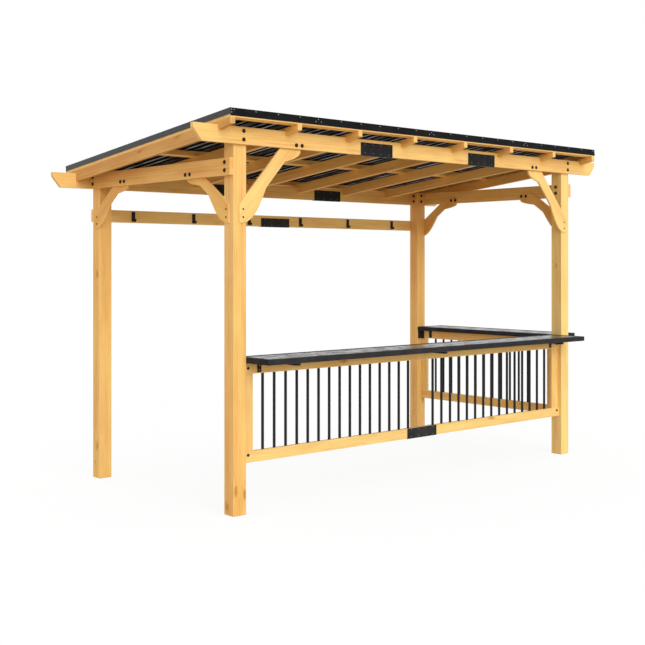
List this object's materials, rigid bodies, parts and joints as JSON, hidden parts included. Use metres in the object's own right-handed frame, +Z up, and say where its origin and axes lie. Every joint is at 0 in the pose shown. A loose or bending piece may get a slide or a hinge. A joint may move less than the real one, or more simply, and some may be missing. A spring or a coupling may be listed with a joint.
{
  "type": "grill gazebo",
  "caption": "Open timber grill shelter with a single-slope ribbed metal roof on knee-braced posts, an L-shaped bar with baluster railings and a hook rail.",
  "frame": {"origin": "on the ground, under the middle of the overall plan box", "axes": "+X to the right along the front bar, +Y from the front to the back, +Z up"},
  "size_m": [4.175, 2.1292, 2.5538],
  "materials": {
    "timber": "honey-coloured stained softwood, satin",
    "black_metal": "black powder coat, satin",
    "roof_metal": "charcoal coated sheet, satin",
    "bar_slats": "grey coated slats, semi-gloss"
  },
  "bodies": {
    "root": {"post_front_left": "timber", "post_front_right": "timber", "post_back_left": "timber", "post_back_right": "timber", "front_header": "timber", "back_header": "timber", "left_side_beam": "timber", "right_side_beam": "timber", "brace_front_left": "timber", "brace_front_right": "timber", "brace_left_front": "timber", "brace_left_back": "timber", "brace_right_front": "timber", "brace_right_back": "timber", "rafter_1": "timber", "rafter_2": "timber", "rafter_3": "timber", "rafter_4": "timber", "rafter_5": "timber", "rafter_6": "timber", "rafter_7": "timber", "rafter_8": "timber", "purlins": "timber", "front_rails": "timber", "side_rails": "timber", "railing_stiles": "timber", "hook_rail": "timber", "roof_sheet_1": "roof_metal", "roof_sheet_2": "roof_metal", "roof_sheet_3": "roof_metal", "roof_sheet_4": "roof_metal", "trim_front": "roof_metal", "trim_back": "roof_metal", "trim_left": "roof_metal", "trim_right": "roof_metal", "front_balusters": "black_metal", "side_balusters": "black_metal", "front_bar_frame": "black_metal", "side_bar_frame": "black_metal", "bar_brackets": "black_metal", "hooks": "black_metal", "header_splices": "black_metal", "rail_splices": "black_metal", "front_bar_slats": "bar_slats", "side_bar_slats": "bar_slats"}
  },
  "joints": []
}
